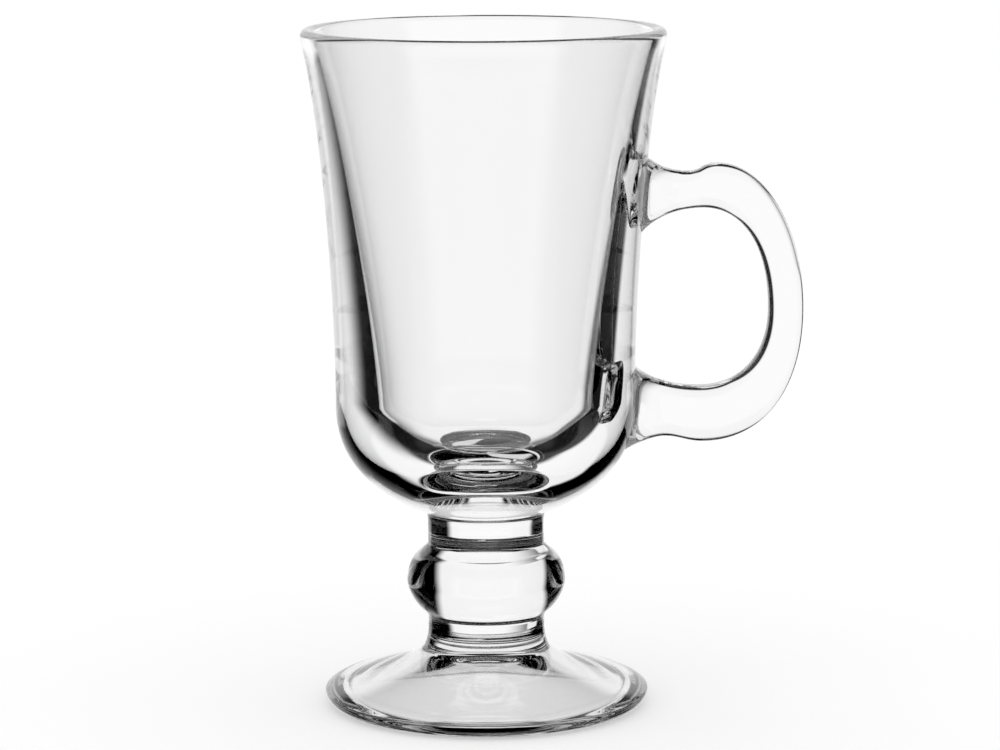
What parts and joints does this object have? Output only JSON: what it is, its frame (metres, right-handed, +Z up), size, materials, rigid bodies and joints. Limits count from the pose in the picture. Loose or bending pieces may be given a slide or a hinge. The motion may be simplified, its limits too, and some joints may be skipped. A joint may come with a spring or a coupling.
{
  "type": "irish coffee glass mug",
  "caption": "Footed clear glass mug with a flared thick-walled bowl, a short stem with a round knop, a broad foot and a flat-sided loop handle.",
  "frame": {"origin": "on the mug's axis, in the plane of the foot's resting ring", "axes": "+Z up the axis towards the rim, +X towards the handle, +Y across the mug away from the picture's camera"},
  "size_m": [0.1058, 0.0768, 0.1446],
  "materials": {
    "bowl_glass": "clear soda-lime glass, fire-polished",
    "upper_stem_glass": "clear soda-lime glass, fire-polished",
    "knop_glass": "clear soda-lime glass, fire-polished",
    "lower_stem_glass": "clear soda-lime glass, fire-polished",
    "foot_glass": "clear soda-lime glass, fire-polished, slightly wavy at the edge",
    "handle_glass": "clear soda-lime glass, fire-polished"
  },
  "bodies": {
    "root": {"bowl": "bowl_glass", "upper_stem": "upper_stem_glass", "knop": "knop_glass", "lower_stem": "lower_stem_glass", "foot": "foot_glass", "handle": "handle_glass"}
  },
  "joints": []
}
